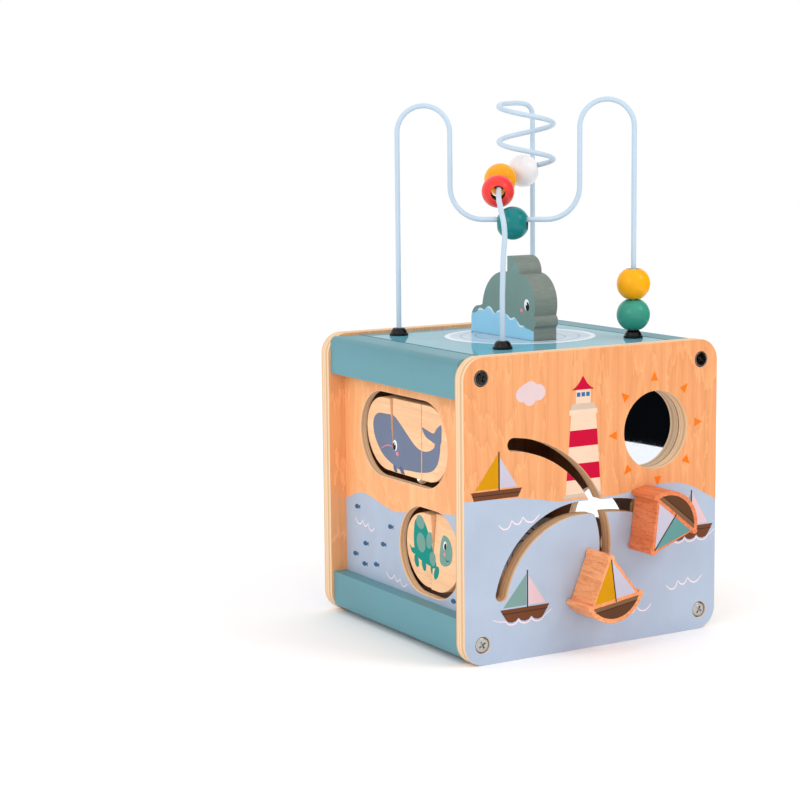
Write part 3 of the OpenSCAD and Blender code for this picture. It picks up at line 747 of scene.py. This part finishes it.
front_skin = Skin(front, "-Y")
shore = smooth([
    (-95, 96), (-80, 95.8), (-60, 95), (-50, 94), (-40, 92.5), (-30, 90.5), (-22, 89.5),
    (10, 89), (20, 89.5), (30, 90.8), (45, 92.6), (60, 92), (70, 89.4), (80, 84.5), (95, 76),
])
printed("front_sea", front_skin, [under(shore)], SEA, "cube")

TOWER_TOP, TOWER_TALL = 139.5, 38.5
TOWER_LEFT, TOWER_RIGHT = -16.8, 0.8
FLARE_LEFT, FLARE_RIGHT = 3.2, 3.0


def tower_edges(z):
    """The lighthouse's left and right edges at a height: it widens on the way down."""
    down = (TOWER_TOP - z) / TOWER_TALL
    return [(TOWER_LEFT - FLARE_LEFT * down, z), (TOWER_RIGHT + FLARE_RIGHT * down, z)]


def tower_band(low, high):
    """The part of the tower between two heights."""
    return tower_edges(low) + tower_edges(high)[::-1]


def print_front(name, shapes, material, layer):
    printed(name, front_skin, shapes, material, "cube", layer)


left_eave, spire, right_eave = (-16.5, 153.5), (-8.5, 161.6), (-0.5, 153.5)
roof = smooth([left_eave, (-12.2, 156.4), spire]) + smooth([spire, (-4.8, 156.4), right_eave])[1:]
gallery_floor = [(-17.6, 142), (1.0, 142), (-0.6, 145.5), (-16.2, 145.5)]
print_front("lighthouse_cream", [tower_band(91, TOWER_TOP), box(-13.5, 145.2, -3, 153.6)], CREAM, 2)
print_front("lighthouse_red", [tower_band(120.5, 130), tower_band(101, 110.5), roof], RED, 3)
print_front("lighthouse_stone", [gallery_floor, box(-22, 90.5, 5.4, 92.8)], STONE, 3)
print_front("lighthouse_balcony", [box(-18.2, 139, 1.7, 142)], ink("balcony_ink", linear(232, 204, 180)), 3)
windows = [box(x - 1.25, 149.5, x + 1.25, 152) for x in (-11.6, -8.3, -5)]
print_front("lighthouse_windows", windows, ink("window_ink", linear(48, 112, 160)), 3)
print_front("front_cloud", puffs(-45, 154), FOAM, 2)

SUN_AT = (44.5, 126)
RAY_CORNERS = ((28.6, -2.7), (34.6, -0.4), (28.9, 2.6))  # outward and sideways from the sun's middle
RAYS, FIRST_RAY = 8, 3  # how many, and the first one's turn in degrees


def sun_ray(turn):
    """A small triangle that points away from the mirror."""
    c, s = math.cos(math.radians(turn)), math.sin(math.radians(turn))
    return [(SUN_AT[0] + r * c - w * s, SUN_AT[1] + r * s + w * c) for r, w in RAY_CORNERS]


print_front("sun_rays", [sun_ray(360 / RAYS * i + FIRST_RAY) for i in range(RAYS)], SUN, 2)

print_front("boat_a_left_sail", [sail(-67, 121.5, 101.6, -82.5)], GOLD, 2)
print_front("boat_a_right_sail", [sail(-66, 119.5, 101.6, -54)], LAVENDER, 2)
print_front("boat_b_left_sail", [sail(-48, 50, 31.6, -64)], SAIL_GREEN, 2)
print_front("pink_sails", [sail(-46.6, 49, 31.6, -34.6), sail(72, 85, 65.4, 84)], PINK, 2)
print_front("boat_c_left_sail", [sail(71, 84, 65.4, 61)], SAIL_GREEN, 2)
masts = [box(-66.9, 100, -66.1, 122.6), box(-47.7, 30, -46.9, 52.2), box(71.1, 64, 71.9, 86.4)]
print_front("masts", masts, DARK_BROWN, 3)

HULL_END, LOBES, LOBE_DEPTH = 3.6, 3, 3.2
LOBED_HULLS = ((-66, -32, 30.6), (54, 88, 64.4))  # left end, right end, deck height


def lobed_hull(x0, x1, deck):
    """A hull with hanging lobes along its foot."""
    return [(x0, deck), (x1, deck)] + scallops(x0 + HULL_END, x1 - HULL_END, deck - 5, LOBES, LOBE_DEPTH)


def hull_foam(x0, x1, deck):
    """The line of foam that follows a lobed hull, a little below it."""
    lobes = scallops(x0 + HULL_END, x1 - HULL_END, deck - 6.2, LOBES, LOBE_DEPTH)
    line = [(x1 + 1.5, deck - 3.6)] + lobes + [(x0 - 1.5, deck - 6.4), (x0 - 5, deck - 5)]
    return brush(smooth(line, 3), 0.8)


hulls = [[(-85.4, 100.6), (-50.8, 100.6), (-53.6, 95.6), (-83.4, 95.6)]]
hulls += [lobed_hull(*place) for place in LOBED_HULLS]
print_front("hulls", hulls, BROWN, 2)
stripe_ends = ((-84.4, -52, 98.2), (-64.6, -33.4, 28), (55.4, 86.6, 61.8))
stripes = [brush([(x0, z), (x1, z)], 0.5, False) for x0, x1, z in stripe_ends]
print_front("hull_stripes", stripes, DARK_BROWN, 3)
foam = [hull_foam(*place) for place in LOBED_HULLS]
foam += wave_mark(-67, 77.6, 28, 6) + wave_mark(53, 27.4, 27, 6) + wave_mark(14, 15, 28, 5.4)
CREST = ink("crest_ink", linear(240, 220, 226))
print_front("foam_lines", foam, CREST, 2)

# ---------- left face print ----------

left_skin = Skin(left, "-X")
left_shore = smooth([
    (-80, 84.6), (-57, 83.2), (-43, 81.4), (-20, 78.4), (10, 74), (20, 74.4),
    (30, 76), (40, 78.2), (50, 79.4), (60, 77.8), (70, 74), (80, 70.4),
])
printed("left_sea", left_skin, [under(left_shore)], SEA, "cube")


def fish_school(places):
    """Little fish with pointed tails, all swimming the same way."""
    shapes = []
    for x, z in places:
        tail = [(x - 1.8, z + 0.2), (x - 4.2, z + 1.7), (x - 3.8, z - 1.5)]
        shapes += [oval(x, z, 2.7, 1.5, -8), tail]
    return shapes


left_fish = fish_school((
    (59.5, 69.5), (18.5, 63.5), (27.5, 51), (49.5, 47.7), (36.5, 36.7), (62.5, 39), (51, 34.5), (-53.5, 31.8),
))
printed("left_fish", left_skin, left_fish, NAVY, "cube", 2)
printed("left_foam", left_skin, wave_mark(38, 57, 24, 5.2) + wave_mark(-1, 29.4, 25, 5.4), CREST, "cube", 2)

# ---------- picture tiles ----------

TILE_WOOD = wood("tile_birch", linear(252, 208, 164), linear(243, 190, 144), "Y", 0.7, 0.5)


def tile_row(animal, places):
    """The turning tiles of one picture, by node name."""
    names = [f"{animal}_tile_{place}" for place in places]
    return {name: finished(name, TILE_WOOD, 0.7) for name in names}


whale_tiles = tile_row("whale", ("front", "middle", "back"))
turtle_tiles = tile_row("turtle", ("front", "back"))

whale_body = smooth([
    (-35.6, 132.4), (-35.2, 124), (-34.6, 116), (-31.6, 108.4), (-24.6, 103.4), (-12, 101),
    (3, 100.2), (14, 99.4), (23, 101.2), (33, 105.4), (39.6, 112), (42.8, 119),
    (42, 126.4), (36, 131), (25.6, 131.8), (18.6, 131.6), (12.6, 128.6), (2.6, 122),
    (-5.4, 117), (-12.4, 114.6), (-20.4, 114.8), (-27.4, 117.6), (-29.4, 121),
], 6, True)
fluke = smooth([
    (-29.4, 120.6), (-25, 121.6), (-18.6, 123.6), (-14.6, 128.4), (-21, 127.4), (-27.6, 126.6), (-31, 129.6),
    (-36, 132.4), (-36.6, 127), (-35.4, 121),
], 5, True)
whale_fins = [
    smooth([(9, 101.4), (5.8, 97), (8.4, 96), (12.4, 100.6)], 5, True),
    smooth([(17, 101.2), (14.6, 97.4), (17.4, 97), (20, 101)], 5, True),
]
smile = brush(smooth([(18.6, 110.6), (23, 112.4), (29, 111.8), (35, 109.2)]), 0.55)


def print_tiles(tiles, name, shapes, material, layer):
    """Prints one picture across a row of tiles; each tile takes the part that falls on it."""
    for node, tile in tiles.items():
        skin = Skin(tile, "-X")
        if skin.cut(shapes)[1]:
            printed(f"{name}_on_{node}", skin, shapes, material, node, layer)


print_tiles(whale_tiles, "whale_body", [whale_body, fluke], WHALE, 1)
print_tiles(whale_tiles, "whale_fins", whale_fins, ink("fin_ink", linear(92, 106, 138)), 2)
print_tiles(whale_tiles, "whale_eye_white", [oval(17.2, 113.4, 2.5, 3.3)], WHITE, 2)
print_tiles(whale_tiles, "whale_pupil", [oval(17.8, 112.8, 1.7, 2.5)], BLACK, 3)
print_tiles(whale_tiles, "whale_glint", [oval(17.2, 114.2, 0.5, 0.7)], WHITE, 4)
print_tiles(whale_tiles, "whale_cheek", [oval(14.6, 108.6, 1.5, 1.2), smile], BLUSH, 2)

shell = smooth([
    (-12.6, 74.2), (-18, 72.6), (-23.4, 64), (-27.6, 54), (-31, 47.4), (-25, 46), (-14, 47.4), (-6, 50),
    (-4.4, 56), (-5, 64), (-7.4, 71.6),
], 6, True)
legs = [
    oval(-31.4, 44, 2.6, 4.2, 20), oval(-24.4, 45.4, 2.4, 4.4, 8),
    oval(-14.6, 46, 2.5, 4.2, -4), oval(-6.2, 46.6, 2.6, 4, -12),
]
tail = smooth([(-5.6, 54.4), (-1.4, 54), (0.8, 56), (-1, 51.4), (-5.4, 50.6)], 4, True)
patches = [
    oval(-12.9, 59, 5, 6), oval(-13.4, 71.6, 4.6, 4.2, 10),
    oval(-22.8, 62, 3.4, 5.6, 24), oval(-25.6, 51, 4, 4.4, 10),
]
head = smooth([
    (-37, 67.4), (-43, 65.6), (-47, 60), (-46.6, 53), (-41, 49.6), (-35, 50.6), (-33.6, 57), (-34.4, 64),
], 6, True)
turtle_smile = brush(smooth([(-40.4, 53.8), (-42.2, 52.8), (-44.4, 53.8)]), 0.5)
print_tiles(turtle_tiles, "turtle_shell", [shell, tail] + legs, TURTLE, 1)
print_tiles(turtle_tiles, "turtle_patches", patches + [head], MOSS, 2)
print_tiles(turtle_tiles, "turtle_eye_white", [oval(-38.8, 61.4, 1.9, 2.6)], WHITE, 3)
print_tiles(turtle_tiles, "turtle_pupil", [oval(-39.2, 61, 1.3, 2)], BLACK, 4)
print_tiles(turtle_tiles, "turtle_cheek", [oval(-39, 56.4, 1.3, 1.1)], BLUSH, 3)
print_tiles(turtle_tiles, "turtle_smile", [turtle_smile], BLACK, 3)
AXLE_STEEL = metal("axle_steel", linear(112, 98, 86), 0.4)
for node in ("whale_axle", "turtle_axle"):
    finished(node, AXLE_STEEL, 0.3)
for node in ("whale_axle_blocks", "turtle_axle_blocks"):
    finished(node, PLAIN, 0.5)

# ---------- boats ----------


def repainted(made):
    """The graph of a finished material, and the colour that it has so far."""
    g = Graph(made)
    return g, g.shader.inputs["Base Color"].links[0].from_socket


def beech(name, pale, deep):
    """Oiled beech: soft drift of colour under short dark flecks that run front to back."""
    g, was = repainted(wood(name, pale, shaded(deep, 1.15), "Y", 0.5, 0.5))
    bands = g.noise(g.stretched((1, 0.1, 1)), 620, 3, 0.7)
    flecks = g.noise(g.stretched((1, 0.25, 1)), 1300, 2)
    marked = g.mix(g.grey_ramp(bands, 0.46, 0.62, 0.0, 0.55), was, deep)
    g.colour(g.mix(g.grey_ramp(flecks, 0.58, 0.66, 0.0, 0.5), marked, shaded(deep, 0.72)))
    return g.made


BEECH = beech("boat_beech", linear(253, 176, 122), linear(214, 122, 74))
RED_BEECH = beech("red_beech", linear(240, 150, 100), linear(196, 98, 58))
PLANK = ink("plank_ink", linear(128, 90, 62))


def make_boat(node, timber, left_ink, tilt):
    """A boat, with sails and hull drawn upright round its peg and turned with it."""
    skin = Skin(finished(node, timber, 1.3, 4), "-Y")
    low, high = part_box(node + "_washer")
    cx, cz = (low.x + high.x) / 2 / MM, (low.z + high.z) / 2 / MM
    c, s = math.cos(math.radians(tilt)), math.sin(math.radians(tilt))

    def print_boat(name, shapes, material, layer):
        turned = [[(cx + x * c - z * s, cz + x * s + z * c) for x, z in shape] for shape in shapes]
        printed(node + name, skin, turned, material, node, layer)

    print_boat("_left_sail", [sail(-0.4, 24.2, 0.9, -15.2)], left_ink, 1)
    print_boat("_right_sail", [sail(0.4, 23.4, 0.9, 14.4)], LAVENDER, 1)
    deck = 29.5  # degrees below level at which the hull's arc meets the deck
    print_boat("_hull", [arc(0, 8, 18.7, 180 + deck, 360 - deck)], HULL, 1)
    print_boat("_stripe", [[(-14.4, -4.0), (-16.2, -1.3), (16.2, -1.3), (14.4, -4.0)]], PLANK, 2)
    print_boat("_mast", [box(-0.35, -0.9, 0.35, 24.6), box(-14.8, -4.2, 14.8, -3.6)], DARK_BROWN, 3)


make_boat("low_boat", BEECH, GOLD, 8)
make_boat("side_boat", RED_BEECH, TEAL_SAIL, 141.6)
for node in ("low_boat", "side_boat"):
    for part in ("_peg", "_bush", "_washer"):
        finished(node + part, PLAIN, 0.3)

# ---------- top: pond and whale ----------

top_skin = Skin(top, "+Z")
POND_AT = (9, 8)
WATER = pond_paint("water_paint", linear(186, 205, 220))
printed("pond_water", top_skin, [oval(*POND_AT, 47, 46, 0, 72)], WATER, "cube")
RIPPLE = pond_paint("ripple_paint", linear(222, 232, 242))
DEEPER = pond_paint("deeper_water_paint", linear(146, 184, 204))
printed("pond_rim", top_skin, ring(*POND_AT, 45.2, 44.2, 3.6), RIPPLE, "cube", 2)
ripples = ring(*POND_AT, 37, 36, 1.6) + ring(*POND_AT, 26, 31, 1.2)
printed("pond_ripples", top_skin, ripples, DEEPER, "cube", 2)

# Painted shadow lines: the shade in the gaps beside the rails, and the contact shadow just outside the foot of the
# whale
RAIL_SHADOW, FOOT_SHADOW = 0.4, 0.5  # half of each line's width
BOARD_END = 74
FOOT_FRONT, FOOT_BACK, FOOT_GAP = -21.8, 48.2, 0.2
board_xs = [x for x, y in top_skin.points]
foot_xs = [corner.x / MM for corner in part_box("whale_block")]
foot_ys = [FOOT_FRONT - FOOT_GAP, FOOT_BACK + FOOT_GAP]
# The list holds the painted shadow strips along the joints
joints = [
    box(x - RAIL_SHADOW, -BOARD_END, x + RAIL_SHADOW, BOARD_END)
    for x in (min(board_xs) + RAIL_SHADOW, max(board_xs) - RAIL_SHADOW)
]
joints += [box(x - FOOT_SHADOW, foot_ys[0], x + FOOT_SHADOW, foot_ys[1]) for x in foot_xs]
joints += [box(foot_xs[0], y - FOOT_SHADOW, foot_xs[1], y + FOOT_SHADOW) for y in foot_ys]
printed("painted_shadow_lines", top_skin, joints, ink("painted_shadow_ink", linear(28, 72, 84)), "cube", 3)


def end_shaded_paint(name, side, end):
    """Paint on a block: even on its broad sides; on its narrow ones greyer and a little darker with fibres
    showing, the darker grey being painted shade.
    """
    g, was = repainted(painted_wood(name, side, 0.46, grain="Z", wear=0.35))
    fibres = g.noise(g.stretched((0.25, 1, 1)), 520, 3, 0.65)
    drawn = g.mix(g.grey_ramp(fibres, 0.35, 0.7), shaded(end, 0.90), shaded(end, 1.06))
    broad = g.math("ABSOLUTE", g.part(g.normal, AXIS["X"]))
    g.colour(g.mix(g.grey_ramp(broad, 0.75, 0.97, 1.0, 0.0), was, drawn))
    return g.made


# The second colour is the narrow end faces' painted shade
WHALE_PAINT = end_shaded_paint("whale_paint", linear(113, 142, 136), linear(122, 132, 124))
whale = finished("whale_block", WHALE_PAINT, 1.2, 4)
splash_edge = [
    (-40, 181), (-20.6, 181.4), (-17.8, 182), (-13.7, 182.4), (-10.4, 184), (-7, 184),
    (-4, 186.4), (-0.6, 188.4), (3.3, 187.4), (7.5, 189.6), (11, 189.4), (15.1, 191.5),
    (18.6, 190.5), (21.5, 189.1), (25.4, 192.4), (29, 192.9), (33.6, 190.2), (36.5, 191.2),
    (39.7, 190.6), (41.8, 188.4), (46.7, 187.4), (60, 187),
]
splash = smooth(splash_edge, 4) + [(60, 170), (-40, 170)]
SPRAY = ink("spray_ink", linear(222, 236, 242))
crest_lines = [[(y, z - 0.7) for y, z in splash_edge[i:i + 3]] for i in (4, 7, 10, 13, 16)]
crests = [brush(smooth(line, 5), 1.1) for line in crest_lines]
for side, direction in (("left", "-X"), ("right", "+X")):
    skin = Skin(whale, direction)
    for name, shapes, material, layer in (
        ("splash", [splash], SPLASH, 1),
        ("crest", crests, SPRAY, 2),
        ("eye", [oval(-14.2, 196.8, 2.7, 3.5)], WHITE, 1),
        ("pupil", [oval(-15, 195.8, 1.9, 2.7)], BLACK, 2),
        ("glint", [oval(-14, 197.2, 0.6, 0.7)], WHITE, 3),
        ("blush", [oval(-8.6, 193, 1.5, 1.2)], BLUSH, 2),
    ):
        printed(f"whale_{name}_{side}", skin, shapes, material, "cube", layer)
finished("whale_block_screws", STEEL, 0.25)

# ---------- bead maze ----------

finished("arch_wire", WIRE_PAINT, 0)
WIRE_R = 1.6
WIRE_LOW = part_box("spiral_wire")[0].z / MM
FOOT_B, FOOT_D = (-38.4, -44.4), (48.5, 52.1)
COIL_AT, COIL_R, COIL_Z, COIL_PITCH = (30, 32), 17, 271.8, 22
COIL_TURN = 147.3  # where the coil's angle 0 lies, counter-clockwise from +X
COIL_START, COIL_STEP, COIL_END = 22.5, 7.5, 742.5


def coil_point(angle):
    """A point of the spiral wire, which climbs as its angle goes round."""
    t = math.radians(COIL_TURN - angle)
    rise = COIL_PITCH * angle / 360
    return (COIL_AT[0] + COIL_R * math.cos(t), COIL_AT[1] + COIL_R * math.sin(t), COIL_Z + rise)


lead_in = smooth([
    (*FOOT_B, 205), (-37.9, -44.7, 228), (-37.2, -45.2, 240), (-37.4, -44.6, 248.5), (-37, -41.6, 254.5),
    (-34, -35.4, 258.8), (-28.8, -26.6, 260.6), (-18, -9.8, 262.2), (-6, 8.4, 264.2), (6, 26.5, 266.2),
    (11.5, 34.8, 267.7), (15.7, 41.2, 270.4), coil_point(COIL_START),
], 6)
coil_steps = int((COIL_END - COIL_START) / COIL_STEP)
coil = [coil_point(COIL_START + COIL_STEP * i) for i in range(1, coil_steps)]
lead_out = smooth([
    coil_point(COIL_END), (27, 48.9, 317.6), (36, 50.4, 317.9), (43.5, 51.5, 316.9), (47.4, 52, 313.8),
    (*FOOT_D, 309), (*FOOT_D, 300), (*FOOT_D, 285),
], 6)
spiral_path = [(*FOOT_B, WIRE_LOW)] + lead_in + coil + lead_out + [(*FOOT_D, WIRE_LOW)]
sweep("spiral_wire_finished", spiral_path, WIRE_R, WIRE_PAINT, "spiral_wire")
finished("wire_caps", moulded_plastic("cap_plastic", linear(12, 12, 13)), 0.35)
finished("wire_nuts", STEEL, 0.25)


def bead_profile(outer=10.2, bore=4.4, lip=0.35, steps=26):
    """A bead's section: round outside, straight bore and softly rounded mouths."""
    mouth = math.degrees(math.asin((bore + lip) / outer))
    outside = [(x, y) for y, x in arc(0, 0, outer, mouth, 180 - mouth, steps)]
    top_h = outside[0][1]
    rounding = ((0, 1), (0.1, 0.5), (0.45, 0.08))  # out from the bore and down from the mouth, in lips
    rim = [(bore + lip * out, top_h - lip * down) for out, down in rounding]
    return outside + [(r, -h) for r, h in rim[::-1]] + rim


def joint_axis(name):
    """The direction of a joint, which for a bead is that of its bore."""
    return Vector(next(j["axis"] for j in frame["joints"] if j["name"] == name))


BEADS = {
    "green_bead": ("slide", linear(60, 152, 130)),
    "amber_bead": ("slide", linear(250, 170, 0)),
    "teal_bead": ("slide", linear(20, 124, 124)),
    "red_bead": ("slide", linear(238, 62, 58)),
    "orange_bead": ("turn", linear(250, 166, 22)),
    "white_bead": ("turn", linear(240, 236, 236)),
}
# Painted shade: the bores are bare wood coloured dark brown, standing in for the shade inside the narrow holes
BORE_SHADE_WOOD = wood("bead_bore", linear(86, 44, 30), linear(60, 28, 18), "Z", 0.6, 0.7)
for bead, (motion, colour) in BEADS.items():
    paint = glossy_paint(bead + "_enamel", colour)
    lathe(bead + "_finished", bead_profile(), joint_axis(f"{bead}_{motion}"), paint, bead, BORE_SHADE_WOOD)

# ---------- right face: shape sorter ----------

right_skin = Skin(right, "+X")
sky = puffs(-17, 141.5) + puffs(60, 92, 1.1) + puffs(-51, 56, 1.15)
printed("right_clouds", right_skin, sky, FOAM, "cube")


def sorter_block(shape, colour, wear=0.5):
    """One of the painted blocks that go through the right panel's holes."""
    paint = painted_wood(shape + "_paint", colour, 0.4, grain="Z", wear=wear)
    return finished(shape + "_block", paint, 1.2, 4)


sorter_block("cloud", linear(40, 140, 144))
sun_skin = Skin(sorter_block("sun", linear(250, 140, 40)), "+X")
sun_low, sun_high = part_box("sun_block")
sun_y, sun_z = (sun_low.y + sun_high.y) / 2 / MM, (sun_low.z + sun_high.z) / 2 / MM
SUN_RED = ink("sun_red_ink", linear(232, 84, 60))
SUN_DOT = ink("sun_dot_ink", linear(226, 84, 40))
printed("sun_centre", sun_skin, [disc(sun_y, sun_z, 9.5)], SUN_RED, "sun_block")
dots = [disc(y, z, 1.2, 16) for y, z in disc(sun_y, sun_z, 14, 10)]
printed("sun_dots", sun_skin, dots, SUN_DOT, "sun_block")

rainbow = sorter_block("rainbow", linear(240, 238, 236), 0.1)
rainbow_low, rainbow_high = [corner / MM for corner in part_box("rainbow_block")]
arch_y = (rainbow_low.y + rainbow_high.y) / 2
arch_z = rainbow_high.z - (rainbow_high.y - rainbow_low.y) / 2


def rainbow_band(r, width):
    """An arch a little over half a turn, so that it runs off the block's foot."""
    return brush(arc(arch_y, arch_z, r, -4, 184, 40), width, False)


BANDS = (
    ("pink", 26.4, linear(235, 120, 140)),
    ("orange", 21.6, linear(250, 165, 80)),
    ("teal", 16.8, linear(70, 165, 160)),
)
rainbow_skin = Skin(rainbow, "+X")
for name, r, colour in BANDS:
    band_ink = ink(f"rainbow_{name}_ink", colour)
    printed(f"rainbow_{name}_outer", rainbow_skin, [rainbow_band(r, 3.4)], band_ink, "rainbow_block")
lines = [rainbow_band(r, 0.9) for r in (28.6, 24.2, 19.4, 14.8)]
line_ink = ink("rainbow_line_ink", linear(128, 112, 116))
printed("rainbow_lines_inner", Skin(rainbow, "-X"), lines, line_ink, "rainbow_block")

# ---------- back face print ----------

back_skin = Skin(back, "+Y")
back_shore = smooth([
    (-95, 88), (-70, 86), (-45, 90), (-20, 94), (0, 92), (25, 88), (50, 90), (75, 95), (95, 94),
])
printed("back_sea", back_skin, [under(back_shore)], SEA, "cube")


def seaweed(x, z, height, lean):
    """A stem with rounded leaves on alternate sides."""
    shapes = [brush(smooth([(x, z), (x + lean * 0.2, z + height * 0.5), (x + lean, z + height)]), 1.4)]
    for i in range(5):
        t = 0.25 + 0.16 * i
        side = 1 if i % 2 else -1
        shapes.append(oval(x + lean * t * t + side * 3.2, z + height * t, 1.5, 3.8, -side * 40))
    return shapes


LIMBS = (
    ((0, 0), (0, 0.5), (0, 1)),
    ((0, 0.25), (0.3, 0.45), (0.38, 0.85)),
    ((0, 0.35), (-0.28, 0.5), (-0.36, 0.8)),
)


def coral(x, z, size):
    """Three blunt branches from one foot."""
    limbs = [[(x + u * size, z + v * size) for u, v in limb] for limb in LIMBS]
    stems = [brush(smooth(limb), size * 0.16, False) for limb in limbs]
    return stems + [disc(*limb[-1], size * 0.1, 20) for limb in limbs]


def print_back(name, shapes, material):
    printed(name, back_skin, shapes, material, "cube", 2)


print_back("back_seaweed", seaweed(74, 4, 38, -5) + seaweed(63, 3, 28, 3), TURTLE)
print_back("back_coral_red", coral(-30, 2, 28), RED)
CORAL = ink("coral_ink", linear(240, 150, 150))
print_back("back_coral_pink", coral(-74, 3, 22) + coral(-54, 2, 16), CORAL)
print_back("back_fish", fish_school(((68, 66), (-38, 52), (-62, 70), (-66, 40))), SUN)
print_back("back_foam", wave_mark(-58, 80, 20, 4) + wave_mark(56, 78, 20, 4), FOAM)
print_back("back_cloud", puffs(-56, 142) + puffs(-52, 112, 0.7), FOAM)
